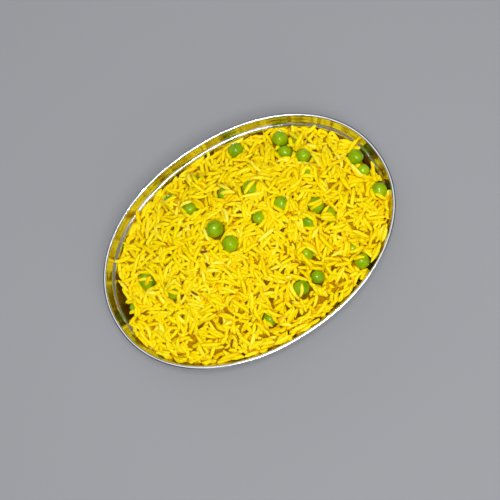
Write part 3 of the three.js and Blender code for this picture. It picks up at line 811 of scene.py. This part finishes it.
def thickness(place):
    """Thickness of a grain along itself, from 0 at a tip to 1 in the middle."""
    return (1 - np.abs(place) ** TAPER) ** BLUNTNESS


def bent(places):
    """The bend of a grain along itself: out in the middle and back at the tips."""
    return BEND_MIDDLE - places ** 2


def aside_of(grain, places):
    """How far a grain strays from its straight line: a crook to one side and an S-shaped sway."""
    return grain["crook"] * bent(places) + grain["sway"] * (places ** 3 - SWAY_BACK * places)


def grain_path(grain, places):
    """Plan positions along a grain."""
    reach = places * grain["length"] / 2
    aside = aside_of(grain, places)
    cos, sin = math.cos(grain["turn"]), math.sin(grain["turn"])
    return grain["x"] + reach * cos - aside * sin, grain["y"] + reach * sin + aside * cos


print("thickness at the middle, halfway and near a tip:", thickness(np.array([0, 0.5, 0.95])).round(2))

# %% [markdown]
# ## Laying one grain
# A grain comes to rest on the two highest points under it, one on each side of its middle. That
# is the pair of points whose joining line passes highest over the middle. When it rests, its
# back is stamped onto the map.

# %% Lay one grain
STEEPEST = 0.55


def rest_grain(grain):
    """Height of a grain's middle and its slope when it lies on what is under it."""
    x, y = grain_path(grain, along)
    normal = (-math.sin(grain["turn"]), math.cos(grain["turn"]))
    radius = grain["width"] / 2 * thickness(along)
    offsets = across[:, None] * radius[None, :]
    under = ground[cell_of(x + offsets * normal[0], y + offsets * normal[1])]
    belly = GRAIN_DEPTH / 2 * thickness(along) * np.sqrt(1 - across[:, None] ** 2)
    need = (under + belly).max(axis=0) - grain["bow"] * bent(along)
    reach = along * grain["length"] / 2
    left, right = reach[:centre_place, None], reach[None, centre_place + 1:]
    need_left, need_right = need[:centre_place, None], need[None, centre_place + 1:]
    at_middle = need_left + (need_right - need_left) * (-left) / (right - left)
    best = np.unravel_index(at_middle.argmax(), at_middle.shape)
    rise = need_right[0, best[1]] - need_left[best[0], 0]
    slope = np.clip(rise / (right[0, best[1]] - left[best[0], 0]), -STEEPEST, STEEPEST)
    return (need - slope * reach).max(), slope


def stamp_grain(grain):
    """Adds a laid grain's back to the map of heights."""
    reach = grain["length"] / 2 + grain["width"]
    first = cell_of(np.array(grain["x"] - reach), np.array(grain["y"] - reach))
    last = cell_of(np.array(grain["x"] + reach), np.array(grain["y"] + reach))
    window = (slice(first[0], last[0] + 1), slice(first[1], last[1] + 1))
    cos, sin = math.cos(grain["turn"]), math.sin(grain["turn"])
    off_x, off_y = map_x[window] - grain["x"], map_y[window] - grain["y"]
    place = (off_x * cos + off_y * sin) / (grain["length"] / 2)
    inside = np.abs(place) < 1
    body = thickness(np.where(inside, place, 1))
    aside = -off_x * sin + off_y * cos - aside_of(grain, np.clip(place, -1, 1))
    share = aside / np.maximum(grain["width"] / 2 * body, 1e-9)
    inside &= np.abs(share) < 1
    arch = np.sqrt(np.maximum(1 - share ** 2, 0)) * body * GRAIN_DEPTH / 2
    back_height = grain["z"] + grain["slope"] * place * grain["length"] / 2 + arch
    back_height = back_height + grain["bow"] * bent(place)
    ground[window] = np.where(inside, np.maximum(ground[window], back_height), ground[window])


# %% [markdown]
# ## Where grains may lie
# Grains keep clear of the windows over the peas and of the small holes. They also stay near the
# heap's edge: a tip may stand out over it a little, some tips further than others. At the near
# side and where the edge comes close to the rim, the rice spills over the ledge up to the wall.

# %% Say where a grain is free
RIM_KEEP = 2.1 * MM  # no grain reaches nearer to the outermost edge
TIP_REACHES = np.array([0.3, 0.8, 1.4, 2.4, 4.0]) * MM  # how far tips may stand out over the edge
EDGE_SLACK = 0.5 * MM
SPILL_INSET = 3.4 * MM
SPILL_LIMIT = 7 * MM  # an edge further in than this doesn't spill
WINDOW_CLEARANCE = 0.3  # share of a grain's width

spills = (rice_edge < SPILL_LIMIT) & ((oval_ring(0)[:, 1] < 0) | (rice_edge < LEDGE_INNER[0]))
nearest_inset = over_map(np.where(spills, SPILL_INSET, rice_edge - EDGE_SLACK))


def is_free(grain):
    """True where a grain stays inside the heap's edge and leaves peas and holes in sight."""
    x, y = grain_path(grain, along)
    spare = (map_inset - nearest_inset)[cell_of(x, y)].min()
    if spare < -grain["tip_reach"] or map_inset[cell_of(x, y)].min() < RIM_KEEP + grain["width"] / 2:
        return False
    distance = np.hypot(x[:, None] - windows[:, 0], y[:, None] - windows[:, 1]).min(axis=0)
    return bool((distance > windows[:, 2] + grain["width"] * WINDOW_CLEARANCE).all())


print("columns where the rice spills over the ledge:", int(spills.sum()), "of", COLUMNS)

# %% [markdown]
# ## Drawing grains at random
# Every grain differs a little in width, crook, sway and arch. The numbers are drawn from a seeded
# source, so every run gives the same heap. A few directions are tried at each place, and the
# grain that lies lowest is kept, as a falling one would slide down to that too.

# %% Draw grains
HEAP_SEED = 5
SLOPE_JITTER = 0.06
WHOLE_TRIES = 4  # after these the grains that are tried are shorter
TIGHT_SHARE = 0.75
WIDTH_RANGE = (0.88, 1.12)
CROOK_SPREAD, SWAY_SPREAD = 0.65, 0.4  # mm
BOW_MEAN_AND_SPREAD = (0.3, 0.4)  # mm
random = np.random.default_rng(HEAP_SEED)


def new_grain(x, y, turn, share):
    """A grain of random size with its middle at a place."""
    return {
        "x": x,
        "y": y,
        "turn": turn,
        "length": GRAIN_LENGTH * share,
        "width": GRAIN_WIDTH * random.uniform(*WIDTH_RANGE),
        "crook": random.normal(0, CROOK_SPREAD) * MM,
        "sway": random.normal(0, SWAY_SPREAD) * MM,
        "bow": random.normal(*BOW_MEAN_AND_SPREAD) * MM,
        "tip_reach": random.choice(TIP_REACHES),
    }


def lowest_of(tries):
    """The grain that lies lowest of those that are tried, or None."""
    for grain in tries:
        grain["z"], grain["slope"] = rest_grain(grain)
    return min(tries, key=lambda tried: tried["z"], default=None)


def free_tries(x, y, share, turns, wanted):
    """The first few free grains at a place, shorter ones if it is tight there."""
    found = []
    for number, turn in enumerate(turns):
        grain = new_grain(x, y, turn, share * (1 if number < WHOLE_TRIES else TIGHT_SHARE))
        if is_free(grain):
            found.append(grain)
        if len(found) == wanted:
            break
    return found


def lay(grain, sink):
    """Presses a grain into what is under it by a share of its depth and keeps it."""
    grain["z"] -= sink * GRAIN_DEPTH
    grain["slope"] += random.normal(0, SLOPE_JITTER)
    stamp_grain(grain)
    grains.append(grain)


grains = []

# %% [markdown]
# ## Filling the heap
# Each time, some places are picked and the one where the heap lacks most rice gets a grain.
# Most grains are whole, with some broken ones among them. Later mostly short ones are laid,
# because only they fit into the gaps that are left. Soft grains press into each other, so each
# one sinks by part of its depth, and more where it would stand up over the heap. A place where
# no grain fits grows tired, so that others get their turn.

# %% Fill the heap
FILL_TRIES = 15000
GAPS_FROM = 9000  # from this try on, mostly short grains go into the gaps that are left
PICKS = 18
NEIGHBOURS = (-3, 0, 3)  # cells
SHORT_SHARE, SHORT_SHARE_IN_GAPS = 0.2, 0.75
SHORT_LENGTHS = (0.4, 0.7)  # of a whole grain's
WHOLE_LENGTHS = (1.0, 0.13)  # mean and spread
TURNS = 9
SECOND_CHANCE = 0.4  # how often two free directions are compared and not only one
PRESS_SPREAD = 0.2
PRESS_RANGE = (0.4, 0.95)  # of a grain's depth
LOW_ENOUGH = 1.5 * MM  # how far a grain's back may stand over the heap before it is pressed in
EDGE_BAND = 9 * MM  # nearer to the rim than this, a third of the directions follow the edge
EDGE_SPREAD = 0.3
EDGE_HELP = 1.0 * MM  # makes the edge fill as early as the middle
FILL_SLACK = 0.3 * MM  # how far outside the heap's edge a grain's middle may lie
MIDDLE_KEEP = 3.3 * MM  # no grain has its middle nearer to the rim
TIRED_STEP = 6 * MM
TIRED_REACH = 3  # cells
DEEPEST_LACK = 4 * MM
edge_turn = np.arctan2(slope_y, slope_x) + math.pi / 2
tired = np.zeros_like(ground)  # grows where no grain could be laid
fill_from = np.maximum(nearest_inset - FILL_SLACK, MIDDLE_KEEP)
fill_cells = np.argwhere(map_inset > fill_from)

for attempt in range(FILL_TRIES):
    if attempt == GAPS_FROM:
        print("grains before the gaps are filled:", len(grains))
        tired[:] = 0
    picks = fill_cells[random.integers(len(fill_cells), size=PICKS)]
    column, row = picks.T
    lack = sum(
        np.minimum(heap_top[column, row] - ground[column + dx, row + dy], DEEPEST_LACK)
        for dx in NEIGHBOURS for dy in NEIGHBOURS
    )
    at_edge = map_inset[column, row] < EDGE_BAND
    lack += len(NEIGHBOURS) ** 2 * EDGE_HELP * at_edge - tired[column, row]
    column, row = picks[lack.argmax()]
    x, y = grid_x[column], grid_y[row]
    short = random.random() < (SHORT_SHARE if attempt < GAPS_FROM else SHORT_SHARE_IN_GAPS)
    share = random.uniform(*SHORT_LENGTHS) if short else random.normal(*WHOLE_LENGTHS)
    turns = random.uniform(0, math.pi, TURNS)
    if map_inset[column, row] < EDGE_BAND:
        turns[1::3] = edge_turn[column, row] + random.normal(0, EDGE_SPREAD, TURNS // 3)
    grain = lowest_of(free_tries(x, y, share, turns, 1 + (random.random() < SECOND_CHANCE)))
    over = grain["z"] + GRAIN_DEPTH / 2 - heap_top[column, row] if grain else LOW_ENOUGH
    if over < LOW_ENOUGH:
        lay(grain, np.clip(over / GRAIN_DEPTH + random.normal(0, PRESS_SPREAD), *PRESS_RANGE))
    else:
        low_column, low_row = column - TIRED_REACH, row - TIRED_REACH
        tired[low_column:column + TIRED_REACH + 1, low_row:row + TIRED_REACH + 1] += TIRED_STEP
print("grains laid:", len(grains))
print("mean height over the packed heap, mm:", round((ground - heap_top)[in_rice].mean() / MM, 2))

# %% [markdown]
# ## Covering the hidden parts of the peas
# What lies over a pea but outside its window is covered next: grains are laid over the bare
# parts of the pea until hardly any is left. They are bent more than the others, because a soft
# grain hangs over the ball that it lies on.

# %% Cover the hidden parts of the peas
COVER_TRIES = 40
BARE_CELLS = 12  # a pea with fewer bare cells counts as covered
COVER_TURNS = 12
OVER_PEA_BOW = 0.9 * MM


def draped(x, y, turn, share):
    """A grain that hangs over a pea."""
    grain = new_grain(x, y, turn, share)
    grain["bow"] = OVER_PEA_BOW
    return grain


covered = 0
for (name, pea), window in zip(peas.items(), windows[:len(peas)]):
    if name not in WINDOWS:
        continue
    from_window = np.hypot(map_x - window[0], map_y - window[1])
    bare = (plan_distance(pea["middle"]) < pea["radius"]) & (from_window > window[2] + 0.5 * GRAIN_WIDTH)
    height_before = ground.copy()
    for _ in range(COVER_TRIES):
        cells = np.argwhere(bare & (ground <= height_before))
        if len(cells) < BARE_CELLS:
            break
        column, row = cells[random.integers(len(cells))]
        tries = [
            grain
            for turn in random.uniform(0, math.pi, COVER_TURNS)
            if is_free(grain := draped(grid_x[column], grid_y[row], turn, random.uniform(0.6, 1)))
        ]
        grain = lowest_of(tries[:3])
        if grain:
            lay(grain, random.uniform(0.3, 0.5))
            covered += 1
print("grains over peas:", covered)

# %% [markdown]
# ## Single grains on top
# Last come the single grains that catch the eye: the ones that lie right across a pea, and the
# three that reach over the ledge. A strand over a pea is given by how far off the pea's middle
# it lies as a share of the radius, which way, and how it is turned.

# %% Lay the single grains on top
STRANDS = [
    ("pea_11", 0.0, 0, 17), ("pea_15", 0.15, 70, -13), ("pea_15", 0.3, -110, -5),
    ("pea_23", 0.5, -118, 47), ("pea_24", 0.5, 117, -23), ("pea_26", 0.05, 90, -33),
    ("pea_26", 0.35, -60, 17), ("pea_27", 0.25, -133, -48), ("pea_27", 0.2, 40, -8),
    ("pea_10", 0.45, -23, -33), ("pea_12", 0.3, -73, -8), ("pea_17", 0.45, 57, -63),
    ("pea_04", 0.35, 27, -63), ("pea_04", 0.4, -63, 27), ("pea_09", 0.1, 0, -93),
    ("pea_16", 0.2, 180, -30), ("pea_21", 0.55, 127, 10),
]
STRAYS = [(-66.5, 31.4, -18), (79.0, 12.9, 21), (-45.8, 47.0, 74)]  # mm, mm and degrees

for name, off, way, degrees in STRANDS:
    middle, radius = peas[name]["middle"], peas[name]["radius"]
    x = middle.x + off * radius * math.cos(math.radians(way))
    y = middle.y + off * radius * math.sin(math.radians(way))
    lay(lowest_of([draped(x, y, math.radians(degrees), random.uniform(0.65, 0.9))]), 0.1)
for x, y, degrees in STRAYS:
    lay(lowest_of([new_grain(x * MM, y * MM, math.radians(degrees), 0.95)]), 0.2)
print("grains in all:", len(grains))

# %% [markdown]
# ## Grains as meshes
# Each grain is a spindle with eight sides and ten rings. The rings lie closer together near the
# tips, where the form changes fastest. All grains of one kind become a single joined mesh,
# because thousands of objects would be slow to draw and to store, and array arithmetic makes
# every grain of a kind at once.

# %% Describe a spindle
SIDES = 8
RINGS = np.sin(np.linspace(-1, 1, 10) * math.radians(80))
SQUARE_POWER = 0.75


def squarish(wave):
    """Makes a round section a little squarer, so that a grain has a broad flat back."""
    return np.sign(wave) * np.abs(wave) ** SQUARE_POWER


def spindle_faces():
    """Corner numbers of a spindle's triangles, rings first and then the two tips."""
    last = len(RINGS) - 1
    tip_low, tip_high = len(RINGS) * SIDES, len(RINGS) * SIDES + 1
    for side in range(SIDES):
        onward = (side + 1) % SIDES
        for ring in range(last):
            low, high = ring * SIDES, (ring + 1) * SIDES
            yield low + side, high + onward, low + onward
            yield low + side, high + side, high + onward
        yield tip_low, side, onward
        yield tip_high, last * SIDES + onward, last * SIDES + side


print("triangles of a grain:", len(list(spindle_faces())))

# %% [markdown]
# A grain's skin is slightly uneven, each ring and each corner by its own small amount. The points
# are first worked out along the grain itself and then turned and moved to where it rests. How
# deep a point lies under the heap's surface is stored with it for the painted shade, and on the
# near slope that painted shade deepens faster, so that the looser rice there looks darker.

# %% Join grains into one mesh
CORNER_UNEVEN, RING_UNEVEN = 0.05, 0.06
SHADE_DEPTH = 1.5 * MM
# painted shade: on the near slope the colour darkens faster with depth
NEAR_SLOPE_SHADE_GAIN = 1.7  # how much faster the colour deepens on the near slope
SURFACE_BLUR = 1.0 * MM
surface = blurred(ground, SURFACE_BLUR)


def grain_meshes(name, chosen, tones):
    """One joined mesh of grains, with each grain's tone on its vertices."""
    values = {key: np.array([grain[key] for grain in chosen]) for key in chosen[0]}
    columns = {key: value[:, None] for key, value in values.items()}
    count = len(chosen)
    angle = np.arange(SIDES) / SIDES * 2 * np.pi
    uneven = 1 + random.normal(0, CORNER_UNEVEN, (count, len(RINGS), SIDES))
    uneven += random.normal(0, RING_UNEVEN, (count, len(RINGS), 1))
    body = thickness(RINGS)[None, :, None] * uneven
    off_side = body * squarish(np.cos(angle)) * (values["width"] / 2)[:, None, None]
    off_side = off_side + aside_of(columns, RINGS)[:, :, None]
    off_up = body * squarish(np.sin(angle)) * GRAIN_DEPTH / 2
    off_up = off_up + (values["bow"][:, None] * bent(RINGS))[:, :, None]
    reach = (RINGS * values["length"][:, None] / 2)[:, :, None] * np.ones(SIDES)
    local = np.stack([reach, off_side, off_up], axis=-1).reshape(count, -1, 3)
    tips = np.zeros((count, 2, 3))
    tips[:, 0, 0], tips[:, 1, 0] = -values["length"] / 2, values["length"] / 2
    tips[:, :, 1] = aside_of(columns, np.array([-1, 1]))
    tips[:, :, 2] = (values["bow"] * bent(1))[:, None]
    local = np.concatenate([local, tips], axis=1)
    pitch = np.arctan(values["slope"])
    cos_t, sin_t = np.cos(values["turn"]), np.sin(values["turn"])
    forward = np.stack([cos_t * np.cos(pitch), sin_t * np.cos(pitch), np.sin(pitch)], axis=1)
    sideways = np.stack([-sin_t, cos_t, np.zeros(count)], axis=1)
    axes = np.stack([forward, sideways, np.cross(forward, sideways)], axis=1)
    middle = np.stack([values["x"], values["y"], values["z"]], axis=1)
    points = np.einsum("nvi,nij->nvj", local, axes) + middle[:, None, :]
    faces = np.array(list(spindle_faces()))
    starts = np.arange(count)[:, None, None] * local.shape[1]
    mesh = mesh_from_arrays(name, points, (faces[None] + starts).reshape(-1, 3))
    add_values(mesh, "tone", np.repeat(tones, local.shape[1]))
    x, y, z = points.reshape(-1, 3).T
    # painted shade: the deeper a point lies under the surface, the darker and more orange it is
    # coloured, more so on the near slope
    depth = (surface[cell_of(x, y)] - z) * np.interp(-y, -LOOSE_FROM, [1, NEAR_SLOPE_SHADE_GAIN])
    add_values(mesh, "shade", np.clip(depth / SHADE_DEPTH, 0, 1))
    return mesh


# %% [markdown]
# Three kinds of grain give the heap its mix: whole grains in deep yellow, paler and more
# see-through ones, and broken ones. Each kind is one piece, or more where it has many grains.

# %% Make the three kinds of grain
GRAINS_A_PIECE = 1200
BROKEN_UNDER = 0.72 * GRAIN_LENGTH
PALE_SHARE = 0.28
whole = [grain for grain in grains if grain["length"] > BROKEN_UNDER]
broken = [grain for grain in grains if grain["length"] <= BROKEN_UNDER]
is_pale = random.random(len(whole)) < PALE_SHARE
kinds = {
    "deep_grains": ([g for g, pale in zip(whole, is_pale) if not pale], deep_rice),
    "pale_grains": ([g for g, pale in zip(whole, is_pale) if pale], pale_rice),
    "broken_grains": (broken, deep_rice),
}
for name, (chosen, material) in kinds.items():
    parts = math.ceil(len(chosen) / GRAINS_A_PIECE)
    for number in range(parts):
        part = chosen[number::parts]
        piece_name = f"{name}_{number + 1}"
        tones = np.clip(random.normal(0.5, 0.2, len(part)), 0, 1)
        mesh = grain_meshes(piece_name, part, tones)
        place_piece(piece_name, mesh, material, "rice", "rice")
        print(piece_name, len(part), "grains,", len(mesh.polygons), "triangles")

# %% [markdown]
# ## The pea skin
# A cooked pea has a tight, moist skin, fresh green with lighter and darker patches. A painted
# texture could give the patches, but a noise over the object's own coordinates needs no
# unwrapping. The clear coat makes the small bright spot that a wet skin has.

# %% Mix the pea skin
PEA_STOPS = [(0.3, (0.06, 0.17, 0.0)), (0.6, (0.22, 0.38, 0.0)), (0.95, (0.45, 0.58, 0.002))]
PATCHINESS = 0.6


def pea_material():
    """Glossy cooked pea skin: fresh green, lighter in soft patches."""
    material, shader = plain_material("pea_skin", PEA_STOPS[1][1], roughness=0.3)
    links = material.node_tree.links
    tone = node(material, "ShaderNodeAttribute", attribute_name="tone")
    coordinates = node(material, "ShaderNodeTexCoord")
    patches = noise_node(material, coordinates, scale=240)
    mixed = math_node(material, "MULTIPLY_ADD", patches.outputs["Fac"], PATCHINESS, tone.outputs["Fac"])
    colour = ramp_node(material, mixed, PEA_STOPS)
    links.new(colour.outputs["Color"], shader.inputs["Base Color"])
    pores = noise_node(material, coordinates, scale=1400, detail=2)
    bump = bump_node(material, pores.outputs["Fac"], distance=0.05 * MM, strength=0.25)
    links.new(bump.outputs["Normal"], shader.inputs["Normal"])
    shader.inputs["Subsurface Weight"].default_value = 0.2
    shader.inputs["Subsurface Radius"].default_value = (0.6, 1.0, 0.1)
    shader.inputs["Subsurface Scale"].default_value = 1.5 * MM
    shader.inputs["Specular IOR Level"].default_value = 0.3
    shader.inputs["Specular Tint"].default_value = (0.9, 1.0, 0.3, 1)
    shader.inputs["Coat Weight"].default_value = 0.28
    shader.inputs["Coat Roughness"].default_value = 0.1
    shader.inputs["Coat Tint"].default_value = (1.0, 1.0, 0.6, 1)
    return material


# %% [markdown]
# ## The peas
# A cooked pea is nearly a ball, with shallow dents and a few soft wrinkles. A sphere of even
# triangles takes small dents better than one with poles, so each pea starts as an ico sphere of
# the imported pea's size. One noise with broad waves makes the dents, and a finer one, folded so
# that it has sharp valleys, makes the wrinkles.

# %% Make the peas
pea_skin = pea_material()
DENT_SIZE = 4.2 * MM
DENT_DEPTH = 0.5 * MM
WRINKLE_SIZE = 1.3 * MM
WRINKLE_DEPTH = 0.18 * MM
OWN_STEP = (31.7, 17.3, 7.9)  # takes each pea to a part of the noise of its own

for number, (name, pea) in enumerate(peas.items()):
    shape = bmesh.new()
    bmesh.ops.create_icosphere(shape, subdivisions=4, radius=pea["radius"])
    own_place = Vector([number * step for step in OWN_STEP])
    for vertex in shape.verts:
        dent = noise.noise(vertex.co / DENT_SIZE + own_place) * DENT_DEPTH
        wrinkle = abs(noise.noise(vertex.co / WRINKLE_SIZE + own_place)) * WRINKLE_DEPTH
        vertex.co += vertex.co.normalized() * (dent - wrinkle) + pea["middle"]
    mesh = bpy.data.meshes.new(f"green_{name}")
    shape.to_mesh(mesh)
    shape.free()
    mesh.shade_smooth()
    add_values(mesh, "tone", np.full(len(mesh.vertices), random.uniform(0.28, 0.48)))
    place_piece(f"green_{name}", mesh, pea_skin, "peas", name)
print("peas:", len(peas))

# %% [markdown]
# ## Cumin seeds
# Three thin brown seeds lie on the rice. A cumin seed is a slim spindle with fine ridges along
# it. It is small enough that eight sides and a mottled colour are plenty.

# %% Make the cumin seeds
SEED_LENGTH = 4.8 * MM
SEED_WIDTH = 1.3 * MM
SEED_SINK = 0.2 * MM
SEED_PLACES = [(-24.3, 5.7, 150), (-41.5, -10.2, 115), (-39.5, -43.8, 45)]  # mm, mm and degrees

seeds = []
for x, y, degrees in SEED_PLACES:
    seed = {
        "x": x * MM,
        "y": y * MM,
        "turn": math.radians(degrees),
        "length": SEED_LENGTH,
        "width": SEED_WIDTH,
        "crook": 0.25 * MM,
        "sway": 0.0,
        "bow": 0.0,
        "tip_reach": 0.0,
    }
    seed["z"], seed["slope"] = rest_grain(seed)
    seed["z"] -= SEED_SINK
    seeds.append(seed)

seed_material, seed_shader = plain_material("cumin_brown", (0.2, 0.05, 0.01), roughness=0.5)
seed_coordinates = node(seed_material, "ShaderNodeTexCoord")
seed_grain = noise_node(seed_material, seed_coordinates, scale=1800, detail=2)
seed_colour = ramp_node(seed_material, seed_grain.outputs["Fac"], [
    (0.35, (0.07, 0.015, 0.004)), (0.7, (0.34, 0.10, 0.01))])
seed_material.node_tree.links.new(seed_colour.outputs["Color"], seed_shader.inputs["Base Color"])
seed_mesh = grain_meshes("cumin_seeds", seeds, np.full(len(seeds), 0.5))
place_piece("cumin_seeds", seed_mesh, seed_material, "rice", "rice")
print("cumin seeds:", len(seeds))
